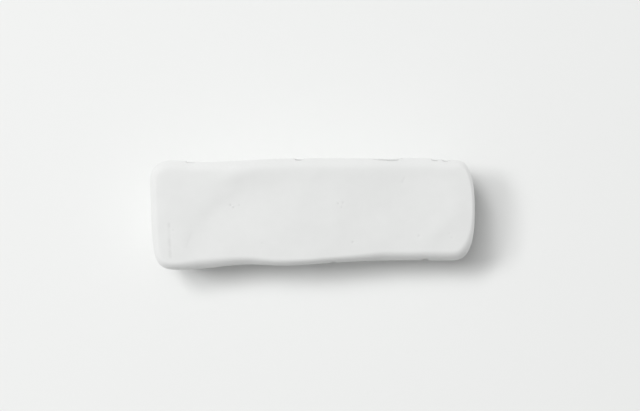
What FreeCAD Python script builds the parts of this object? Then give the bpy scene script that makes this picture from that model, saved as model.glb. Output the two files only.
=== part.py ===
"""Gymnastics chalk block: one pressed bar of magnesium carbonate, worn round by hands.

The bar is a single piece. It is modelled in millimetres, lying on its flat face, with +X along its
length, +Y across its width and +Z up. The origin is on the resting face, under the middle of the bar.
"""
import FreeCAD
import Part
import math
import os

# Driving dimensions, in millimetres.
LENGTH = 120.0  # end to end
WIDTH = 41.5  # across, from the front of the wide left end to the back of the middle
HEIGHT = 26.5  # flat face to the level that the worn top rises and falls about
TOP_EDGE_RADIUS = 3.4  # the top edge, rubbed round in use
BASE_EDGE_RADIUS = 4.0  # the edge that the bar rests inside
TOP_SPAN = (1.15 * LENGTH, 1.3 * WIDTH)  # the worn top is laid out wider than the bar, then cut by it
TOP_GRID = (41, 17)  # points along and across that carry the worn top

# The plan outline as shares of the half length and half width, anticlockwise from the right end's middle.
# The right end is worn to a bow, the front edge tapers and waves, and the left end is squarer.
OUTLINE = [
    (1.000, -0.050),
    (0.999, 0.270),
    (0.988, 0.580),
    (0.965, 0.790),
    (0.915, 0.930),
    (0.780, 0.985),
    (0.400, 0.990),
    (-0.050, 0.990),
    (-0.380, 0.960),
    (-0.780, 0.940),
    (-0.912, 0.922),
    (-0.975, 0.795),
    (-1.000, 0.450),
    (-0.994, 0.000),
    (-0.978, -0.600),
    (-0.944, -0.890),
    (-0.850, -1.000),
    (-0.700, -0.985),
    (-0.520, -0.928),
    (-0.360, -0.902),
    (-0.200, -0.920),
    (0.050, -0.886),
    (0.330, -0.842),
    (0.600, -0.830),
    (0.830, -0.834),
    (0.930, -0.778),
    (0.981, -0.520),
]

# Soft rises and hollows that fingers and palms have worn into the top, each a bell curve in plan.
# x and y of its middle, reach along, reach across, turn in degrees, height; the lengths are millimetres.
PRESSES = [
    (-8.0, -2.0, 46.0, 26.0, 0.0, 0.90),
    (-32.0, 13.0, 14.0, 4.5, 30.0, 0.30),
    (-53.0, 4.0, 5.0, 16.0, 0.0, 0.25),
    (-40.0, -4.0, 9.0, 7.0, 55.0, -0.35),
    (30.0, 5.0, 12.0, 10.0, 0.0, -0.30),
    (43.0, -8.5, 7.0, 3.2, 42.0, 0.28),
    (54.0, 0.0, 5.0, 14.0, 0.0, 0.30),
    (1.0, -14.0, 9.0, 5.0, 0.0, 0.22),
    (10.0, 16.0, 32.0, 3.5, 0.0, 0.28),
]


def press_height(x, y):
    """Height of the worn top above or below HEIGHT: the sum of PRESSES, each a turned bell curve."""
    total = 0.0
    for middle_x, middle_y, reach_along, reach_across, degrees, height in PRESSES:
        turn = math.radians(degrees)
        away_x = x - middle_x
        away_y = y - middle_y
        along = (away_x * math.cos(turn) + away_y * math.sin(turn)) / reach_along
        across = (away_y * math.cos(turn) - away_x * math.sin(turn)) / reach_across
        total += height * math.exp(-(along ** 2 + across ** 2))
    return total


def closed_curve(points):
    """A smooth closed curve through the points, as one edge at Z = 0."""
    curve = Part.BSplineCurve()
    curve.interpolate(Points=[FreeCAD.Vector(x, y, 0.0) for x, y in points], PeriodicFlag=True)
    return curve.toShape()


def outline_wire():
    """The plan outline, stretched so that it measures LENGTH by WIDTH and centred on the origin."""
    shares = closed_curve(OUTLINE).optimalBoundingBox(False)
    scale_x = LENGTH / shares.XLength
    scale_y = WIDTH / shares.YLength
    points = [((x - shares.Center.x) * scale_x, (y - shares.Center.y) * scale_y) for x, y in OUTLINE]
    return Part.Wire([closed_curve(points)])


def under_worn_top():
    """A deep slab whose upper face is the worn top, wider than the bar all round."""
    count_x, count_y = TOP_GRID
    rows = []
    for i in range(count_x):
        x = TOP_SPAN[0] * (i / (count_x - 1) - 0.5)
        row = []
        for j in range(count_y):
            y = TOP_SPAN[1] * (j / (count_y - 1) - 0.5)
            row.append(FreeCAD.Vector(x, y, HEIGHT + press_height(x, y)))
        rows.append(row)
    surface = Part.BSplineSurface()
    surface.interpolate(rows)
    return surface.toShape().extrude(FreeCAD.Vector(0.0, 0.0, -2.0 * HEIGHT))


def rounded(solid, at_top, radius):
    """The solid with the closed edge round its top or its base rounded to the radius."""
    edges = []
    for edge in solid.Edges:
        low = edge.BoundBox.ZMin
        high = edge.BoundBox.ZMax
        on_top = low > 0.5 * HEIGHT
        on_base = high < 0.5 * HEIGHT
        if (at_top and on_top) or (not at_top and on_base):
            edges.append(edge)
    return solid.makeFillet(radius, edges)


def chalk_block():
    """The bar: the outline's prism, cut by the worn top, its edges rubbed round, set on the origin."""
    plan = Part.Face(outline_wire())
    prism = plan.extrude(FreeCAD.Vector(0.0, 0.0, 1.2 * HEIGHT))
    bar = prism.common(under_worn_top()).Solids[0]
    bar = rounded(bar, True, TOP_EDGE_RADIUS)
    bar = rounded(bar, False, BASE_EDGE_RADIUS).Solids[0]
    box = bar.optimalBoundingBox(False)
    bar.translate(FreeCAD.Vector(-box.Center.x, -box.Center.y, -box.ZMin))
    return bar


def main():
    os.makedirs("parts", exist_ok=True)
    bar = chalk_block()
    bar.exportStep(os.path.join("parts", "chalk_block.step"))
    box = bar.optimalBoundingBox(False)
    print("valid", bar.isValid(), "volume cm3", round(bar.Volume / 1000.0, 2))
    print("size mm", round(box.XLength, 3), round(box.YLength, 3), round(box.ZLength, 3))
    print("centre mm", round(box.Center.x, 3), round(box.Center.y, 3), "lowest", round(box.ZMin, 3))


main()
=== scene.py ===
# %% [markdown]
# # A gymnast's chalk block
#
# The object is one bar of pressed magnesium carbonate, the chalk that gymnasts rub on their hands. It has
# no parts to put together. What makes it worth looking at is its surface: rims rubbed round by hands, a
# top pressed into soft hollows, and the small pits, creases and nicks that a soft white stone picks up.
#
# The CAD model gives the bar's size and its place. This script makes the bar's skin again as a finer
# mesh, gives it a chalk finish, and lights it on a pale table.

import bmesh
import bpy
import numpy as np
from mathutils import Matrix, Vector


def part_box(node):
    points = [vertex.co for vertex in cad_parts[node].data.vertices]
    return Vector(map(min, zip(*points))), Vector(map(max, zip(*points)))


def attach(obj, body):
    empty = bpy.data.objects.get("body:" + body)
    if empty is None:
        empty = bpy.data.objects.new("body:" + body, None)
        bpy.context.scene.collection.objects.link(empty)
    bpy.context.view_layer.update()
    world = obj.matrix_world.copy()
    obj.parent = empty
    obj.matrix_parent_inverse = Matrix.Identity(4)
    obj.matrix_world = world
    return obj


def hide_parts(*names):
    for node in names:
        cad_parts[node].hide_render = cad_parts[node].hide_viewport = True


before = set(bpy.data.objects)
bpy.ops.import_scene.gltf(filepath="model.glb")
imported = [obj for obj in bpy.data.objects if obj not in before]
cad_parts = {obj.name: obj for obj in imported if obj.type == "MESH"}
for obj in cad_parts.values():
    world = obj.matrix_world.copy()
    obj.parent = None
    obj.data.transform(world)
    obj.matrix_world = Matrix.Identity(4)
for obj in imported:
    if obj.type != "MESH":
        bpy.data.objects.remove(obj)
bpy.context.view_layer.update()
MM = 0.001  # one millimetre in Blender's metres

low, high = (np.array(corner, float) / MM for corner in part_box("chalk_block"))
LENGTH, WIDTH, HEIGHT = high - low
MIDDLE = (low + high) / 2.0
print("bar in mm:", np.round([LENGTH, WIDTH, HEIGHT], 2))

# %% [markdown]
# ## The outline seen from above
#
# A fresh block is a plain brick. This one has been held by its ends and dragged across palms, so the
# right end is worn to a bow, the left end stays squarer and a little wider, and the front edge waves.
#
# A list of short straight sides would show as corners, and a rounded rectangle is too regular. So the
# outline is a closed curve of cubic pieces, which runs smoothly through a few given points.

# %% The outline's points, as shares of the half length and half width
OUTLINE = np.array([
    (1.000, -0.05),
    (0.999, 0.27),
    (0.988, 0.58),
    (0.964, 0.79),
    (0.930, 0.922),
    (0.860, 0.963),
    (0.760, 0.983),
    (0.400, 0.990),
    (-0.050, 0.990),
    (-0.380, 0.960),
    (-0.780, 0.940),
    (-0.925, 0.925),
    (-0.978, 0.820),
    (-1.000, 0.450),
    (-0.994, 0.000),
    (-0.980, -0.600),
    (-0.952, -0.860),
    (-0.925, -0.942),
    (-0.880, -0.988),
    (-0.820, -1.000),
    (-0.700, -0.984),
    (-0.520, -0.928),
    (-0.360, -0.902),
    (-0.200, -0.920),
    (0.050, -0.886),
    (0.330, -0.842),
    (0.600, -0.830),
    (0.830, -0.834),
    (0.932, -0.775),
    (0.981, -0.520),
])


# %% A smooth closed curve through points
def closed_curve(points, count):
    """count points on a closed cubic curve through the given points.

    Between two neighbours the curve is a cubic whose bend changes evenly from one to the other. The bends
    at all the points are solved together, so that the slope runs on without a break at every point.
    """
    total = len(points)
    step = np.linalg.norm(np.roll(points, -1, axis=0) - points, axis=1)
    before = np.roll(step, 1)
    row = np.arange(total)
    balance = np.zeros((total, total))
    balance[row, row] = 2.0 * (before + step)
    balance[row, (row - 1) % total] += before
    balance[row, (row + 1) % total] += step
    slope = (np.roll(points, -1, axis=0) - points) / step[:, None]
    bend = np.linalg.solve(balance, 6.0 * (slope - np.roll(slope, 1, axis=0)))
    knots = np.concatenate([[0.0], np.cumsum(step)])
    along = np.linspace(0.0, knots[-1], count, endpoint=False)
    piece = np.searchsorted(knots, along, side="right") - 1
    after = (piece + 1) % total
    gone = (along - knots[piece])[:, None]
    left = (knots[piece + 1] - along)[:, None]
    size = step[piece][:, None]
    cubic = (bend[piece] * left ** 3 + bend[after] * gone ** 3) / (6.0 * size)
    from_start = (points[piece] / size - bend[piece] * size / 6.0) * left
    from_end = (points[after] / size - bend[after] * size / 6.0) * gone
    return cubic + from_start + from_end


DENSE = 6000  # points on the fine outline, from which the mesh takes its own
outline = closed_curve(OUTLINE * [LENGTH / 2.0, WIDTH / 2.0], DENSE)
outline_size = np.ptp(outline, axis=0)
outline = (outline - (outline.min(axis=0) + outline.max(axis=0)) / 2.0) * [LENGTH, WIDTH] / outline_size
print("outline in mm:", np.round(np.ptp(outline, axis=0), 2))

# %% [markdown]
# ## One grid for the top, one for the wall, one for the base
#
# The mesh is three grids that share their rims. The wall's grid goes round the bar and down it. The top
# and the base are grids of columns and rows, so that their faces are even four-sided ones with no pole
# in the middle, which would pinch the soft hollows.
#
# The rims must meet point for point. So the outline is cut at its four corners, and each side is divided
# into as many steps as the top's grid has columns or rows.

# %% Divide the outline evenly between its corners
COLUMNS = 280  # steps along the bar
ROWS = 96  # steps across it
RING = 2 * (COLUMNS + ROWS)  # steps round it


def ring_on(curve):
    """RING points on a dense closed curve, anticlockwise from the front right corner.

    A corner is where the curve reaches furthest along a diagonal. Each side is divided by its own length.
    """
    diagonals = [(1, -1), (1, 1), (-1, 1), (-1, -1)]
    corners = [int(np.argmax(curve @ np.array(diagonal))) for diagonal in diagonals]
    start = corners[0]
    curve = np.roll(curve, -start, axis=0)
    stops = [(corner - start) % len(curve) for corner in corners] + [len(curve)]
    looped = np.vstack([curve, curve[:1]])
    sides = []
    for first, last, steps in zip(stops[:-1], stops[1:], [ROWS, COLUMNS, ROWS, COLUMNS]):
        side = looped[first:last + 1]
        travelled = np.concatenate([[0.0], np.cumsum(np.linalg.norm(np.diff(side, axis=0), axis=1))])
        wanted = np.linspace(0.0, travelled[-1], steps, endpoint=False)
        sides.append(np.stack([np.interp(wanted, travelled, side[:, k]) for k in (0, 1)], axis=1))
    return np.vstack(sides)


ring = ring_on(outline)
run = np.roll(ring, -1, axis=0) - np.roll(ring, 1, axis=0)
run /= np.linalg.norm(run, axis=1, keepdims=True)
ring_out = np.stack([run[:, 1], -run[:, 0]], axis=1)
ring_turn = np.degrees(np.arctan2(ring_out[:, 1], ring_out[:, 0])) % 360.0
print("ring points:", RING, "spacing in mm:", round(float(np.linalg.norm(ring[1] - ring[0])), 3))

# %% [markdown]
# ## How each edge is worn
#
# The back edge and the left end are rubbed wide and gently. The front is rubbed much steeper, and more so
# in its middle, where it is still narrow. The right end is nearly crisp. Under the rubbed band a thin lip
# stands out, where the two halves of the mould met. Below it the wall leans in to a well rounded base.
#
# A bevel gives every edge the same round. So the wear is kept as two small tables, one by the direction
# that an edge faces and one by the place along the front, and both are smoothed round the ring.

# %% Width and steepness of the rubbed band
# degrees faced, width of the band in mm, steepest tilt, lean of the wall in mm, lip's tilt, powder and
# painted highlight on it, most where the edge faces the light
EDGE_WEAR = np.array([
    (0.0, 1.2, 42.0, 1.0, 30.0, 0.10),
    (12.0, 1.5, 38.0, 1.0, 24.0, 0.10),
    (40.0, 1.6, 30.0, 1.0, 16.0, 0.15),
    (60.0, 2.0, 27.0, 1.6, 14.0, 0.30),
    (85.0, 3.6, 26.0, 2.8, 14.0, 0.85),
    (96.0, 3.6, 26.0, 2.8, 14.0, 0.85),
    (135.0, 3.5, 32.0, 2.2, 14.0, 0.50),
    (160.0, 3.2, 34.0, 1.4, 16.0, 0.30),
    (182.0, 2.7, 34.0, 1.2, 18.0, 0.15),
    (220.0, 2.4, 41.0, 1.4, 26.0, 0.10),
    (266.0, 2.9, 66.0, 2.4, 62.0, 0.00),
    (276.0, 3.6, 66.0, 2.4, 62.0, 0.00),
    (300.0, 3.9, 62.0, 2.0, 54.0, 0.00),
    (329.0, 3.9, 55.0, 1.6, 44.0, 0.00),
    (350.0, 2.2, 35.0, 1.2, 30.0, 0.05),
])
# x in mm along the front edge, width of the band in mm, steepest tilt in degrees
FRONT_WEAR = np.array([
    (-50.0, 3.0, 66.0),
    (-42.0, 4.3, 65.0),
    (-33.0, 3.8, 66.0),
    (-25.0, 3.4, 70.0),
    (-16.0, 2.6, 67.0),
    (-8.0, 2.6, 69.0),
    (0.0, 2.5, 71.0),
    (9.0, 2.6, 70.0),
    (17.0, 2.9, 70.0),
    (26.0, 3.9, 70.0),
    (34.0, 3.7, 69.0),
    (42.0, 3.9, 73.0),
    (51.0, 3.9, 70.0),
])
WEAR_REACH = 8  # ring steps on each side over which the band's width and tilt are evened out
BLEND_REACH = 10  # the same for the wall's lean and the lip's tilt
POWDER_AND_HIGHLIGHT_BLEND = 14  # the same for the powder and painted highlight
LIP_WIDTH = 0.32  # width of the mould's lip in mm
BASE_ROUND = 5.0  # radius in mm of the edge that the bar rests inside
FRONT_FROM = 0.90  # how squarely an edge faces the front where FRONT_WEAR starts; 1.0 is straight at it
FRONT_BLEND = 0.08  # and how much more squarely where it counts in full


def softened(values, reach):
    """The values round the ring, each replaced by the mean of its neighbours within reach steps."""
    spread = np.zeros_like(values)
    for shift in range(-reach, reach + 1):
        spread += np.roll(values, shift)
    return spread / (2 * reach + 1)


def by_direction(column):
    """One column of EDGE_WEAR as a value at every ring point, taken by the direction that it faces."""
    return np.interp(ring_turn, EDGE_WEAR[:, 0], EDGE_WEAR[:, column], period=360.0)


def along_front(column, elsewhere):
    """One column of FRONT_WEAR where the ring faces the front, and the values given elsewhere.

    The two are mixed by how far the edge faces the front: none at FRONT_FROM, all of it FRONT_BLEND later.
    """
    front = np.interp(ring[:, 0], FRONT_WEAR[:, 0], FRONT_WEAR[:, column])
    share = np.clip((-ring_out[:, 1] - FRONT_FROM) / FRONT_BLEND, 0.0, 1.0)
    return front * share + elsewhere * (1.0 - share)


band_width = softened(along_front(1, by_direction(1)), WEAR_REACH)
band_tilt = softened(along_front(2, by_direction(2)), WEAR_REACH)
wall_lean = softened(by_direction(3), BLEND_REACH)
lip_tilt = softened(by_direction(4), BLEND_REACH)
# lighter powder and a painted highlight: most on the back edge and left end, which face the light, none on
# the front
powder_and_highlight_share = softened(by_direction(5), POWDER_AND_HIGHLIGHT_BLEND)
print("band width in mm:", np.round([band_width.min(), band_width.max()], 2))

# %% [markdown]
# ## The wall
#
# The height of the rubbed band isn't set anywhere. The profile is worked out from how steep it is: the
# tilt grows from nothing at the top to a steepest value near the lip, and the height is the tilt summed
# up. That way its shading runs on smoothly from the top, as on a thing rubbed by hand.

# %% The wall: a profile carried round the ring
TOP_STEPS = 16  # over the rubbed band and the lip
WALL_STEPS = 36  # down the wall
BASE_STEPS = 8  # round the base edge
FINE_STEPS = 400  # steps over which the band's tilt is summed up before its rows are picked out
LIP_SOFTNESS = 0.06  # mm over which the band's tilt goes over to the lip's
FOLD_DEPTH = 0.12  # mm that the wall stands back under the lip
FOLD = 0.35  # mm below the lip where most of that step is done
LEAN_POWER = 1.4  # the wall leans in by this power of the way down


def band_profile():
    """Inset and drop of the rubbed band, each as rows of RING values, from the top's rim to the lip.

    The tilt is the steepest tilt times the sine of a quarter turn, as far as the band is crossed. Over the
    lip it goes over to the lip's own tilt along a smooth curve. The drop is the tilt's tangent, summed up.
    """
    fine = np.linspace(0.0, 1.0, FINE_STEPS + 1)[:, None]
    to_lip = band_width * (1.0 - fine)
    tilt = band_tilt * np.sin(np.pi / 2.0 * fine)
    on_lip = 1.0 / (1.0 + np.exp((to_lip - LIP_WIDTH) / LIP_SOFTNESS))
    tilt = tilt * (1.0 - on_lip) + lip_tilt * on_lip
    slope = np.tan(np.radians(tilt))
    steps = band_width * (fine[1] - fine[0])
    drop = np.vstack([np.zeros(RING), np.cumsum((slope[1:] + slope[:-1]) / 2.0 * steps, axis=0)])
    rows = np.sin(np.linspace(0.0, np.pi / 2.0, TOP_STEPS + 1))
    picks = np.round(rows * FINE_STEPS).astype(int)
    return to_lip[picks], drop[picks]


def wall_grid():
    """The wall as rows of RING points, from the top's rim down to the base's rim.

    Row by row the profile is the rubbed band, a small fold under the lip, a wall that leans in by a power
    of the way down, and a quarter circle. It is measured inwards from the outline, along the direction
    that the edge faces.
    """
    band_in, band_drop = band_profile()
    lip_z = HEIGHT - band_drop[-1]
    down = (np.arange(WALL_STEPS + 1) / WALL_STEPS)[1:, None]
    wall_z = (lip_z - BASE_ROUND) * (1.0 - down) + BASE_ROUND
    below = lip_z - wall_z
    fold_in = FOLD_DEPTH * (1.0 - np.exp(-below / FOLD))
    wall_in = fold_in + wall_lean * down ** LEAN_POWER
    under = np.linspace(0.0, np.pi / 2.0, BASE_STEPS + 1)[1:, None]
    base_in = wall_in[-1] + BASE_ROUND * (1.0 - np.cos(under))
    base_z = BASE_ROUND * (1.0 - np.sin(under)) * np.ones(RING)
    inset = np.vstack([band_in, wall_in, base_in])
    z = np.vstack([HEIGHT - band_drop, wall_z, base_z])
    xy = ring[None, :, :] - inset[:, :, None] * ring_out[None, :, :]
    return np.dstack([xy, z])


wall = wall_grid()
lip_drop = np.ptp(wall[:TOP_STEPS + 1, :, 2], axis=0)
print("wall grid:", wall.shape, "lip below the top in mm:", np.round([lip_drop.min(), lip_drop.max()], 2))

# %% [markdown]
# ## The top and the base
#
# Both are broad faces inside a wavy rim. Rows and columns that only reach to the rim would end in slivers
# at the corners, and smaller and smaller copies of the rim would crowd into a pole. So the grid is plain
# in the middle and becomes more like the rim on the way out. It is used twice, once the walls are dented.

# %% Rows and columns that bend to the rim
TINY = 1e-9  # room for rounding where two numbers should be equal


def face_grid(rim):
    """A grid of columns and rows that ends on the rim, given as RING points.

    In the middle it is a plain rectangle of lines. Further out it is a smaller copy of the rim, more so by
    the square of how near the rim is, so that the outermost lines lie on the rim.
    """
    across = np.linspace(-1.0, 1.0, COLUMNS + 1)[:, None] * np.ones(ROWS + 1)
    up = np.linspace(-1.0, 1.0, ROWS + 1)[None, :] * np.ones((COLUMNS + 1, 1))
    near = np.maximum(np.abs(across), np.abs(up))
    safe = np.maximum(near, TINY)
    side_x = across / safe
    side_y = up / safe
    on_right = side_x >= 1.0 - TINY
    on_left = side_x <= -1.0 + TINY
    on_back = side_y >= 1.0 - TINY
    place = np.where(
        on_right,
        ROWS * (side_y + 1.0) / 2.0,
        np.where(
            on_back,
            ROWS + COLUMNS * (1.0 - side_x) / 2.0,
            np.where(
                on_left,
                ROWS + COLUMNS + ROWS * (1.0 - side_y) / 2.0,
                2 * ROWS + COLUMNS + COLUMNS * (side_x + 1.0) / 2.0,
            ),
        ),
    )
    marks = np.arange(RING + 1)
    looped = np.vstack([rim, rim[:1]])
    on_rim = np.dstack([np.interp(place % RING, marks, looped[:, k]) for k in (0, 1, 2)])
    middle = (rim.min(axis=0) + rim.max(axis=0)) / 2.0
    half = np.ptp(rim, axis=0) / 2.0
    level = np.full(near.shape, middle[2])
    plain = np.dstack([middle[0] + across * half[0], middle[1] + up * half[1], level])
    shrunk = middle + (on_rim - middle) * near[:, :, None]
    pull = (near ** 2)[:, :, None]
    return plain * (1.0 - pull) + shrunk * pull

# %% [markdown]
# ## What hands have done to the top
#
# Seen in low light the top isn't flat. It rises a little towards the middle, and the right half has a
# hollow with a thumb-wide ridge beyond it. A curved step across the left half shows where a palm has
# ground its front away. The broad rise is a millimetre high, and all the others are lower.
#
# Noise alone would give lumps with no cause. So each rise or hollow is a turned bell curve with its own
# place, reach and height, and the step is a smooth fall across an arc.

# %% Rises and hollows of the top
# middle x and y, reach along, reach across, turn in degrees, height; lengths in mm
PRESSES = [
    (-8.0, -2.0, 46.0, 26.0, 0.0, 1.10),
    (-26.5, 15.2, 9.0, 2.8, 16.0, 0.42),
    (-53.0, 4.0, 5.0, 16.0, 0.0, 0.10),
    (30.0, 5.0, 12.0, 10.0, 0.0, -0.40),
    (46.0, -6.0, 8.0, 3.4, 48.0, 0.29),
    (54.0, 2.0, 5.0, 12.0, 0.0, 0.28),
    (1.5, -15.5, 9.0, 5.5, 0.0, 0.60),
    (10.0, 16.0, 32.0, 3.5, 0.0, 0.30),
    (8.5, -1.0, 5.0, 8.0, 0.0, 0.17),
    (22.0, -2.0, 9.0, 8.0, 0.0, -0.26),
]
# the palm's step: centre x and y, radius, fall, width, middle bearing, half its sweep
STEP_X, STEP_Y, STEP_RADIUS = -15.0, -21.6, 33.0
STEP_FALL, STEP_WIDTH, STEP_FADE = 0.72, 6.5, 14.0
STEP_BEARING, STEP_SWEEP = 126.0, 48.0


def bell(x, y, press):
    """A turned bell curve: its height times e to minus the squared distance, counted in its reaches."""
    middle_x, middle_y, reach_along, reach_across, degrees, height = press
    turn = np.radians(degrees)
    along = ((x - middle_x) * np.cos(turn) + (y - middle_y) * np.sin(turn)) / reach_along
    across = ((y - middle_y) * np.cos(turn) - (x - middle_x) * np.sin(turn)) / reach_across
    return height * np.exp(-(along ** 2 + across ** 2))


def palm_step(x, y):
    """A smooth fall on the inner side of an arc, which fades towards its centre and along its sweep."""
    radius = np.hypot(x - STEP_X, y - STEP_Y)
    bearing = np.degrees(np.arctan2(y - STEP_Y, x - STEP_X))
    inside = 0.5 * (1.0 - np.tanh((radius - STEP_RADIUS) / (STEP_WIDTH / 2.0)))
    fade = np.exp(-(np.maximum(STEP_RADIUS - radius, 0.0) / STEP_FADE) ** 2)
    turned = (bearing - STEP_BEARING + 180.0) % 360.0 - 180.0
    sweep = np.exp(-(turned / STEP_SWEEP) ** 4)
    return -STEP_FALL * inside * fade * sweep


def top_relief(x, y):
    """Height of the worn top above its plain level: all the bell curves and the palm's step added up."""
    height = palm_step(x, y)
    for press in PRESSES:
        height = height + bell(x, y, press)
    return height

# %% [markdown]
# ## Pits, creases and chipped edges
#
# Pressed powder keeps a few air pockets, and a soft block is pricked and scored by whatever lies beside
# it in the bag. Each mark is small, so the grid's points are first drawn in towards it: the pit is then
# made of many small faces where the plain grid would give it only one or two.

# %% The marks on the top
# pits: x, y, radius and depth in mm
PITS = [
    (9.6, 3.9, 0.38, 0.13),
    (11.4, 4.2, 0.44, 0.10),
    (10.9, 2.5, 0.34, 0.10),
    (14.9, -10.4, 0.46, 0.10),
    (-30.1, 3.3, 0.46, 0.13),
    (-29.0, 2.5, 0.40, 0.13),
    (-26.9, 3.3, 0.32, 0.09),
    (39.3, -8.0, 0.50, 0.09),
    (-18.5, -10.7, 0.40, 0.05),
    (50.6, -7.2, 0.36, 0.06),
    (51.4, -8.6, 0.42, 0.05),
    (-51.3, -5.9, 0.34, 0.10),
]
# creases: x and y of one end and of the other, half width and depth in mm
CREASES = [
    (-52.8, -3.9, -52.2, -15.8, 0.46, 0.05),
    (-52.8, -3.7, -52.7, -4.6, 0.50, 0.07),
    (-52.6, -9.6, -52.4, -11.6, 0.48, 0.06),
    (-52.3, -14.0, -52.2, -16.0, 0.50, 0.05),
    (-44.5, -7.0, -46.6, -12.1, 0.44, 0.03),
    (33.2, 11.8, 34.0, 13.4, 0.36, 0.07),
]
PIT_BRIM = 0.12  # height of the crumbs pushed up round a pit, as a share of its depth
BRIM_PLACE = 1.5  # where the brim lies, in radii of the pit
BRIM_WIDTH = 0.45  # half its width, in radii too
GATHER_REACH = 3.5  # how far round a pit the points are drawn in, in radii of the pit
GATHER_SHARE = 0.5  # how much of its distance from the pit's middle a point gives up


def gathered(x, y, freedom):
    """The points drawn in towards every pit: each gives up a share of its distance, less so further out.

    freedom is how much a point may move: nothing on the rim, which has to meet the wall point for point.
    """
    for pit_x, pit_y, radius, depth in PITS:
        reach = GATHER_REACH * radius
        share = GATHER_SHARE * freedom * np.exp(-((x - pit_x) ** 2 + (y - pit_y) ** 2) / reach ** 2)
        x, y = x - (x - pit_x) * share, y - (y - pit_y) * share
    return x, y


def marks_on_top(x, y):
    """Depth of all pits and creases: bell curves round a point or a line, and a faint brim round a pit."""
    height = np.zeros_like(x)
    for pit_x, pit_y, radius, depth in PITS:
        away = np.hypot(x - pit_x, y - pit_y) / radius
        height -= depth * np.exp(-away ** 4)
        height += depth * PIT_BRIM * np.exp(-((away - BRIM_PLACE) / BRIM_WIDTH) ** 2)
    for start_x, start_y, end_x, end_y, half, depth in CREASES:
        length = np.hypot(end_x - start_x, end_y - start_y)
        gone = ((x - start_x) * (end_x - start_x) + (y - start_y) * (end_y - start_y)) / length ** 2
        held = np.clip(gone, 0.0, 1.0)
        away = np.hypot(x - start_x - held * (end_x - start_x), y - start_y - held * (end_y - start_y))
        height -= depth * np.exp(-(away / half) ** 2)
    return height


# %% Chips along the lip
# x of the middle, half length, bite in mm, and whether it is on the back edge or the front
CHIPS = [
    (-45.0, 1.6, 0.60, "back"),
    (-4.8, 1.5, 0.80, "back"),
    (27.8, 5.2, 0.80, "back"),
    (30.0, 2.2, 0.30, "back"),
    (45.4, 1.2, 0.80, "back"),
    (49.4, 1.4, 0.75, "back"),
    (7.8, 0.7, 0.50, "front"),
    (42.0, 1.1, 0.85, "front"),
]
CHIP_DEPTH = 1.5  # how far down the wall a chip runs, in bites
CHIP_DROP = 1.1  # how far the edge itself is broken down, in bites
LEAST_BITE = 0.05  # mm; where there is no chip, this stands in for its bite when that is divided by


def chip_bites():
    """How far each ring point's lip is bitten in: bell curves along the bar, on the edge named."""
    bites = np.zeros(RING)
    for middle, half, bite, edge in CHIPS:
        on_edge = ring[:, 1] > 0.0 if edge == "back" else ring[:, 1] < 0.0
        bites += on_edge * bite * np.exp(-((ring[:, 0] - middle) / half) ** 4)
    return bites

# %% [markdown]
# ## The unevenness of a pressed wall
#
# Damp powder doesn't fill a mould evenly, and hands dent it afterwards, so no wall is truly flat. A few
# long cosine waves that cross at chance angles give slow dents with no visible repeat. They are worked
# out from the place in space, so that they run on unbroken from one grid to the next.

# %% Slow waves through the block
chance = np.random.default_rng(7)


def waves(places, shortest, longest, count):
    """The mean of count cosine waves with chance directions, lengths and starts; from about -1 to 1."""
    height = np.zeros(places.shape[:-1])
    for _ in range(count):
        direction = chance.normal(size=3)
        direction /= np.linalg.norm(direction)
        length = chance.uniform(shortest, longest)
        start = chance.uniform(0.0, 2.0 * np.pi)
        height += np.cos(places @ direction * 2.0 * np.pi / length + start)
    return height / np.sqrt(count)


WALL_DENT = 0.34  # depth of the wall's wide dents in mm, inwards only
SMALL_DENT = 0.3  # depth of its small dents, as a share of the wide ones
DENT_FADE = 3.0  # mm below the lip over which the dents grow to their full depth
WIDE_WAVES = (12.0, 30.0, 9)  # shortest and longest wave in mm, and how many
SMALL_WAVES = (4.0, 9.0, 9)  # the same for the small dents
SKIN_DENT = 0.018  # unevenness left on the top, in mm
SKIN_WAVES = (5.0, 14.0, 12)  # the same for the top

# %% Press the dents and chips into the wall
wall_drop = np.cumsum(np.abs(np.diff(wall[:, :, 2], axis=0, prepend=wall[:1, :, 2])), axis=0)
below_lip = np.maximum(wall_drop - wall_drop[TOP_STEPS], 0.0)
dents = np.clip(waves(wall, *WIDE_WAVES), -1.0, 1.0) * 0.5 + 0.5
small_dents = np.clip(waves(wall, *SMALL_WAVES), -1.0, 1.0) * 0.5 + 0.5
press_in = WALL_DENT * (dents + SMALL_DENT * small_dents) * (1.0 - np.exp(-below_lip / DENT_FADE))
inset_now = np.maximum(0.0, ((ring - wall[:, :, :2]) * ring_out).sum(axis=2))
bites = chip_bites()[None, :]
bitten = np.maximum(bites - inset_now, 0.0)
chip_in = bitten * np.exp(-(below_lip / (CHIP_DEPTH * np.maximum(bites, LEAST_BITE))) ** 2)
chip_down = np.where(wall_drop <= wall_drop[TOP_STEPS] + TINY, CHIP_DROP * bitten, 0.0)
wall[:, :, :2] -= (press_in + chip_in)[:, :, None] * ring_out
wall[:, :, 2] -= chip_down
print("deepest dent and chip in mm:", np.round([press_in.max(), chip_in.max()], 2))

# %% [markdown]
# ## One skin from three grids
#
# The top and the base are laid out last, on rims that already hold the wall's dents, so that the seams
# still meet point for point. Then the three grids become one list of points and one list of faces.
# Blender's own Join would do it too, but in arrays it stays known which points are the top's.

# %% Join the three grids into one skin
def grid_quads(start, rows, columns, closed):
    """Four corners of every face of a grid whose points are numbered row after row from start."""
    row = np.arange(rows - 1)[:, None]
    column = np.arange(columns if closed else columns - 1)[None, :]
    next_column = (column + 1) % columns
    corners = [
        row * columns + column,
        row * columns + next_column,
        (row + 1) * columns + next_column,
        (row + 1) * columns + column,
    ]
    return start + np.stack([corner.ravel() for corner in corners], axis=1)


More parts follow.
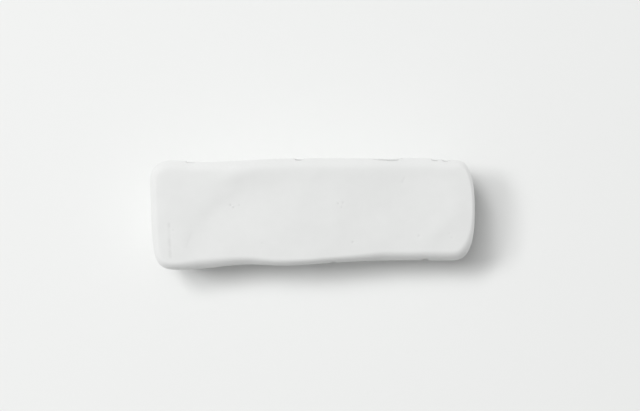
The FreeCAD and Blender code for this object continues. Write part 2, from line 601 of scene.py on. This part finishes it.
HOLD_POWER = 8  # a point of the top is free to move until it is close to the rim
top = face_grid(wall[0])
base = face_grid(wall[-1])
print("top grid:", top.shape)
column_share = np.abs(np.linspace(-1.0, 1.0, COLUMNS + 1))[:, None]
row_share = np.abs(np.linspace(-1.0, 1.0, ROWS + 1))[None, :]
freedom = 1.0 - np.maximum(column_share, row_share) ** HOLD_POWER
top[:, :, 0], top[:, :, 1] = gathered(top[:, :, 0], top[:, :, 1], freedom)
grids = [wall, top, base]
points = np.vstack([grid.reshape(-1, 3) for grid in grids])
starts = np.cumsum([0] + [grid.shape[0] * grid.shape[1] for grid in grids])
quads = np.vstack([
    grid_quads(starts[0], wall.shape[0], wall.shape[1], True)[:, ::-1],
    grid_quads(starts[1], top.shape[0], top.shape[1], False)[:, ::-1],
    grid_quads(starts[2], base.shape[0], base.shape[1], False),
])
print("points:", len(points), "faces:", len(quads))

# %% [markdown]
# ## Lifting the skin
#
# The relief moves the whole skin and not only the top's grid, less and less down the wall. So the rubbed
# band and the lip rise and fall with the top, as they do on a bar that was worn as one piece.

# %% Lift the skin by the top's relief
RELIEF_POWER = 1.5  # the relief fades down the wall by this power of the height
MARK_POWER = 8  # the pits and creases fade much sooner
upness = np.clip((points[:, 2] - BASE_ROUND) / (HEIGHT - BASE_ROUND), 0.0, 1.0)
on_top = np.arange(starts[1], starts[2])
relief = top_relief(points[:, 0], points[:, 1]) + SKIN_DENT * waves(points, *SKIN_WAVES)
relief -= relief[on_top].max()
marks = marks_on_top(points[:, 0], points[:, 1]) * upness ** MARK_POWER
points[:, 2] += relief * upness ** RELIEF_POWER + marks
print("relief of the top in mm:", round(float(np.ptp(relief[on_top])), 2))
print("deepest mark in mm:", round(float(marks.min()), 2))

# %% [markdown]
# ## Where the finish changes
#
# Loose powder lies on the rubbed edges, and the edges that face the light are made lighter still as a
# painted highlight. The pits and creases get painted shade, darker the deeper they are, and the walls get
# crumbs. A painted mask could say where, but it would need an image. Each is worked out from the shape
# instead, and is stored as one number per point, which the material reads by name.

# %% Three values per point for the finish to read
PARTS = 40  # the points are looked up in parts, because all the distances at once would fill the memory


def nearest_on_ring(places):
    """Distance from each place to the nearest ring point seen from above, and that ring point's number."""
    away = []
    number = []
    for part in np.array_split(places, PARTS):
        squares = ((part[:, None, :] - ring[None, :, :]) ** 2).sum(axis=2)
        number.append(squares.argmin(axis=1))
        away.append(np.sqrt(squares.min(axis=1)))
    return np.concatenate(away), np.concatenate(number)


POWDER_AND_HIGHLIGHT_REACH = 3.6  # how far in from the lip the lighter powder and painted highlight run, in mm
POWDER_AND_HIGHLIGHT_FALL = 2.5  # and how far down the wall
FULL_SHADE_DEPTH = 0.12  # mm; a mark this deep gets the full painted shade
WALL_FROM = 2.0  # mm below the lip where the wall has its full roughness
from_lip, nearest = nearest_on_ring(points[:, :2])
under_lip = np.maximum(HEIGHT - lip_drop.mean() - points[:, 2], 0.0)
# lighter rubbed powder, with a painted highlight where the edge faces the light
powder_and_highlight = powder_and_highlight_share[nearest] * np.exp(-(from_lip / POWDER_AND_HIGHLIGHT_REACH) ** 4 - (under_lip / POWDER_AND_HIGHLIGHT_FALL) ** 2)
# painted shade in the pits and creases, darker the deeper the mark
hollow = np.clip(-marks / FULL_SHADE_DEPTH, 0.0, 1.0)
wall_share = np.clip(under_lip / WALL_FROM, 0.0, 1.0)
print("powder from", round(float(powder_and_highlight.min()), 2), "to", round(float(powder_and_highlight.max()), 2))

# %% [markdown]
# ## From arrays to a mesh
#
# The points go into the mesh as whole arrays, in metres. The rims are then merged, which closes the
# seams, and the faces are smooth except under the lip, where the fold keeps a crisp line.

# %% Make the mesh
def mesh_from(name, vertices, faces):
    """A mesh object from whole arrays of points in mm and four-cornered faces, in metres at the origin."""
    mesh = bpy.data.meshes.new(name)
    mesh.from_pydata((vertices * MM).tolist(), [], faces.tolist())
    item = bpy.data.objects.new(name, mesh)
    bpy.context.collection.objects.link(item)
    return item


def point_values(item, name, values):
    """Store one number per point in the mesh, under a name that a material can read."""
    item.data.attributes.new(name, "FLOAT", "POINT").data.foreach_set("value", values.astype(np.float32))


bar = mesh_from("chalk_bar", points + [MIDDLE[0], MIDDLE[1], low[2]], quads)
# the lighter powder with its painted highlight on the rubbed edges
point_values(bar, "powder_and_highlight", powder_and_highlight)
# where the pits and creases get painted shade
point_values(bar, "hollow", hollow)
point_values(bar, "wall", wall_share)

# %% Close the seams and point every face outwards
LIP_CREASE = 38.0  # faces that meet at more than this many degrees keep a crisp edge, as under the lip
SEAM_GAP = 0.001  # mm; points closer than this are one point
skin = bmesh.new()
skin.from_mesh(bar.data)
bmesh.ops.remove_doubles(skin, verts=skin.verts, dist=SEAM_GAP * MM)
bmesh.ops.recalc_face_normals(skin, faces=skin.faces)
open_edges = sum(1 for edge in skin.edges if not edge.is_manifold)
skin.to_mesh(bar.data)
skin.free()
bar.data.shade_smooth()
bar.data.set_sharp_from_angle(angle=np.radians(LIP_CREASE))
print("open edges:", open_edges, "triangles:", 2 * len(bar.data.polygons))

# %% [markdown]
# ## Finishes
#
# Pressed magnesium carbonate is a matte white powder stone. It scatters light in every direction, with
# almost no highlight, and its white is very slightly cool. Where it is rubbed it turns to loose powder,
# which is whiter than the pressed skin; on the edges that face the light this whiter colour is also a
# painted highlight, and the pits, creases and wall pores are darkened with painted shade.

# %% Colours and nodes
def linear(hex_colour):
    """Linear RGBA of an sRGB hex colour, which is how a colour picker shows it."""
    channels = [int(hex_colour[k:k + 2], 16) / 255.0 for k in (1, 3, 5)]
    return [c / 12.92 if c <= 0.04045 else ((c + 0.055) / 1.055) ** 2.4 for c in channels] + [1.0]


def new_material(name):
    """A new material and the Principled shader in it."""
    material = bpy.data.materials.new(name)
    material.use_nodes = True
    return material, material.node_tree.nodes["Principled BSDF"]


def add(tree, kind, inputs=None, output=0, **settings):
    """Add a node with its settings and its inputs, which are numbers or links; returns one output."""
    node = tree.nodes.new(kind)
    for name, value in settings.items():
        setattr(node, name, value)
    for key, value in (inputs or {}).items():
        if isinstance(value, bpy.types.NodeSocket):
            tree.links.new(value, node.inputs[key])
        else:
            node.inputs[key].default_value = value
    return node.outputs[output]

# %% [markdown]
# ## The chalk
#
# A flat white would look like plastic. The powder packs more or less tightly, so its white drifts by a
# percent or two in clouds and in a finer mottle. Rubbed edges are lighter, partly loose powder and partly
# a painted highlight on the edges that face the light, and the pits, creases and wall pores are darkened
# with painted shade.
#
# The grain is a very shallow bump, which keeps any edge of light from looking polished. The walls are
# rougher than the top, which hands have polished: they keep the mould's crumbs and small air pores.

# %% The chalk's values
CHALK = "#DCDDDC"
# the rubbed edges' lighter colour is loose powder and a painted highlight on the edges facing the light
POWDER_AND_HIGHLIGHT = "#E2E3E2"
# painted shade for the pits, creases and wall pores
PAINTED_SHADE_IN_MARKS = "#D3D4D3"
CLOUD_SIZE = 22.0  # mm across one soft cloud in the pressed powder
MOTTLE_SIZE = 4.5  # mm across one patch of the mottle
GRAIN_SIZE = 0.45  # mm; the real grain is a tenth of this, too fine to show, so it is drawn coarser
CRUMB_SIZE = 1.6  # mm across one crumb pressed into a wall
PORE_PATCH = 4.0  # mm across a patch of wall that has pores or has none
PORE_SPACING = 3.2  # mm from one place where a pore can be to the next
PORE_RADIUS, PORE_EDGE = 0.09, 0.20  # where a pore starts to shallow and where it ends, in spacings
GRAIN_DEPTH, GRAIN_STRENGTH = 0.02, 0.35  # depth in mm, and how much of it the light shows
CRUMB_DEPTH, CRUMB_STRENGTH = 0.26, 0.7
CHALK_ROUGHNESS = 0.88  # a dry powder, so hardly any highlight
CHALK_IOR = 1.5  # usual for a pale mineral

chalk, shader = new_material("pressed_magnesium_chalk")
tree = chalk.node_tree
place = add(tree, "ShaderNodeTexCoord", output="Object")
# where the rubbed powder and its painted highlight go
powder_and_highlight_here = add(tree, "ShaderNodeAttribute", output="Fac", attribute_name="powder_and_highlight")
# where the pits and creases get painted shade
hollow_here = add(tree, "ShaderNodeAttribute", output="Fac", attribute_name="hollow")
wall_here = add(tree, "ShaderNodeAttribute", output="Fac", attribute_name="wall")

# %% Noise of five sizes, and what three of them stand for
noise = {}
for name, lump, detail in [
    ("clouds", CLOUD_SIZE, 2.0),
    ("mottle", MOTTLE_SIZE, 3.0),
    ("grain", GRAIN_SIZE, 2.0),
    ("pore patches", PORE_PATCH, 2.0),
    ("crumbs", CRUMB_SIZE, 5.0),
]:
    lumps = {"Vector": place, "Scale": 1.0 / (lump * MM), "Detail": detail}
    noise[name] = add(tree, "ShaderNodeTexNoise", lumps, output="Fac")
# a Map Range node's inputs are the value, its range from and to, and the new range from and to
NOISE_FROM, NOISE_TO = 0.3, 0.7  # most of a noise lies between these
for name, least, most in [
    ("clouds", 0.985, 1.015),
    ("mottle", 0.992, 1.008),
    ("pore patches", -1.0, 1.6),
]:
    spread = {0: noise[name], 1: NOISE_FROM, 2: NOISE_TO, 3: least, 4: most}
    noise[name] = add(tree, "ShaderNodeMapRange", spread)

# %% Pores: a round spot in each cell of the walls, hollow in some patches and a raised crumb in others
cells = {"Vector": place, "Scale": 1.0 / (PORE_SPACING * MM)}
from_cell = add(tree, "ShaderNodeTexVoronoi", cells, output="Distance")
spot_edge = {0: from_cell, 1: PORE_RADIUS, 2: PORE_EDGE, 3: 1.0, 4: 0.0}
spots = add(tree, "ShaderNodeMapRange", spot_edge)
patchy = add(tree, "ShaderNodeMath", {0: spots, 1: noise["pore patches"]}, operation="MULTIPLY")
pores = add(tree, "ShaderNodeMath", {0: patchy, 1: wall_here}, operation="MULTIPLY")

# %% The chalk's colour
# the lighter colour on the rubbed edges: loose powder and a painted highlight where they face the light
rubbed_and_highlighted_mix = {0: powder_and_highlight_here, 6: linear(CHALK), 7: linear(POWDER_AND_HIGHLIGHT)}
rubbed_and_highlighted = add(tree, "ShaderNodeMix", rubbed_and_highlighted_mix, output=2, data_type="RGBA")
# painted shade in the pits, creases and the hollow pores of the walls
painted_shade_share = add(tree, "ShaderNodeMath", {0: hollow_here, 1: pores}, operation="MAXIMUM")
painted_shade_mix = {0: painted_shade_share, 6: rubbed_and_highlighted, 7: linear(PAINTED_SHADE_IN_MARKS)}
shaded_colour = add(tree, "ShaderNodeMix", painted_shade_mix, output=2, data_type="RGBA")
tone = add(tree, "ShaderNodeMath", {0: noise["clouds"], 1: noise["mottle"]}, operation="MULTIPLY")
tinted = add(tree, "ShaderNodeVectorMath", {0: shaded_colour, "Scale": tone}, operation="SCALE")

# %% The chalk's grain and crumbs
grain_bump = {"Height": noise["grain"], "Distance": GRAIN_DEPTH * MM, "Strength": GRAIN_STRENGTH}
grain = add(tree, "ShaderNodeBump", grain_bump)
crumbs = add(tree, "ShaderNodeMath", {0: noise["crumbs"], 1: wall_here}, operation="MULTIPLY")
uneven = add(tree, "ShaderNodeMath", {0: crumbs, 1: pores}, operation="SUBTRACT")
crumb_bump = {"Height": uneven, "Distance": CRUMB_DEPTH * MM, "Strength": CRUMB_STRENGTH, "Normal": grain}
skin_normal = add(tree, "ShaderNodeBump", crumb_bump)
tree.links.new(tinted, shader.inputs["Base Color"])
tree.links.new(skin_normal, shader.inputs["Normal"])
shader.inputs["Roughness"].default_value = CHALK_ROUGHNESS
shader.inputs["IOR"].default_value = CHALK_IOR
bar.data.materials.append(chalk)
print("chalk nodes:", len(tree.nodes))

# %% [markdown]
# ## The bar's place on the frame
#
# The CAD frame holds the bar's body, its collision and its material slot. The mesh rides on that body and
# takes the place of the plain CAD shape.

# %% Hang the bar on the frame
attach(bar, "root")
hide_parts("chalk_block")

# %% [markdown]
# ## The table
#
# The bar lies on a plain board of white laminate, pressed with a matte face. That face scatters nearly
# all light, so it holds a soft shadow and no reflection of the bar. It is one large face, so that its
# edges are never in view.

# %% The table
FLOOR_HALF = 6.0  # metres from the middle to a side
LAMINATE = "#E6E7E6"
LAMINATE_ROUGHNESS = 0.75
floor_mesh = bpy.data.meshes.new("table_top")
floor_signs = [(-1, -1), (1, -1), (1, 1), (-1, 1)]
floor_corners = [(FLOOR_HALF * sign_x, FLOOR_HALF * sign_y, 0.0) for sign_x, sign_y in floor_signs]
floor_mesh.from_pydata(floor_corners, [], [(0, 1, 2, 3)])
floor = bpy.data.objects.new("table_top", floor_mesh)
bpy.context.collection.objects.link(floor)
laminate, shader = new_material("white_laminate")
shader.inputs["Base Color"].default_value = linear(LAMINATE)
shader.inputs["Roughness"].default_value = LAMINATE_ROUGHNESS
floor_mesh.materials.append(laminate)

# %% [markdown]
# ## Light
#
# The shadow falls to the front and to the right, is soft from the start and fades over about the bar's
# own height. One lamp would give it a hard edge and one great softbox would wash it out. So the light is
# a window at the back left, as two soft lights of which the lower stands further to the left, a light on
# the ceiling, and the glow of a white room, which is stronger from above than from level with the table.

# %% The room's glow and three soft lights
ROOM_STRENGTH = 0.354
AT_HORIZON = 0.4  # share of the glow that comes from level with the table
OVERHEAD = 1.3  # share from straight above; the two shares give the table the same light as an even room
scene = bpy.context.scene
world = bpy.data.worlds.new("room_light")
scene.world = world
world.use_nodes = True
room = world.node_tree.nodes["Background"]
room.inputs["Color"].default_value = linear("#FFFFFF")
direction = add(world.node_tree, "ShaderNodeTexCoord", output="Generated")
upward = add(world.node_tree, "ShaderNodeSeparateXYZ", {0: direction}, output="Z")
glow_range = {0: upward, 3: ROOM_STRENGTH * AT_HORIZON, 4: ROOM_STRENGTH * OVERHEAD}
glow = add(world.node_tree, "ShaderNodeMapRange", glow_range)
world.node_tree.links.new(glow, room.inputs["Strength"])


def soft_light(name, bearing, rise, away, size, power):
    """A square area light that faces the origin from a bearing and a rise, both in degrees."""
    turn = np.radians(bearing)
    lift = np.radians(rise)
    place = Vector((np.cos(turn) * np.cos(lift), np.sin(turn) * np.cos(lift), np.sin(lift))) * away
    light = bpy.data.lights.new(name, "AREA")
    light.shape = "SQUARE"
    light.size = size
    light.energy = power
    item = bpy.data.objects.new(name, light)
    bpy.context.collection.objects.link(item)
    item.location = place
    item.rotation_euler = place.to_track_quat("Z", "Y").to_euler()


# bearing and rise in degrees, distance and size in metres, power in watts
soft_light("window_top", 135.0, 62.0, 3.6, 0.90, 43.1)
soft_light("window_bottom", 165.0, 54.0, 3.6, 0.90, 40.2)
soft_light("ceiling_light", 135.0, 78.0, 3.6, 0.98, 23.6)

# %% [markdown]
# ## Camera
#
# The view is straight down, so the camera looks along -Z from well above the bar. A long lens held far
# away keeps the walls out of sight, as they are on a thing seen exactly from above.

# %% Camera
LENS = 85.0  # mm
SENSOR = 36.0  # mm
VIEW_WIDTH = 235.6  # mm of the bar's top level that the picture takes in
VIEW_X = 2.85  # mm that the middle of the view lies to the right of the bar's
VIEW_Y = 3.16  # mm that it lies behind it
camera_data = bpy.data.cameras.new("camera")
camera_data.lens = LENS
camera_data.sensor_width = SENSOR
camera = bpy.data.objects.new("camera", camera_data)
bpy.context.collection.objects.link(camera)
camera_up = VIEW_WIDTH * MM * LENS / SENSOR
camera.location = ((MIDDLE[0] + VIEW_X) * MM, (MIDDLE[1] + VIEW_Y) * MM, high[2] * MM + camera_up)
camera.rotation_euler = (0.0, 0.0, 0.0)
scene.camera = camera
scene.view_settings.view_transform = "Standard"
print("camera height in mm:", round(camera.location.z / MM))

# %% [markdown]
# ## The last update
#
# The finished bar fills the CAD bar's box, and the scene is brought up to date once all is in place.

# %% Bring the scene up to date
bpy.context.view_layer.update()
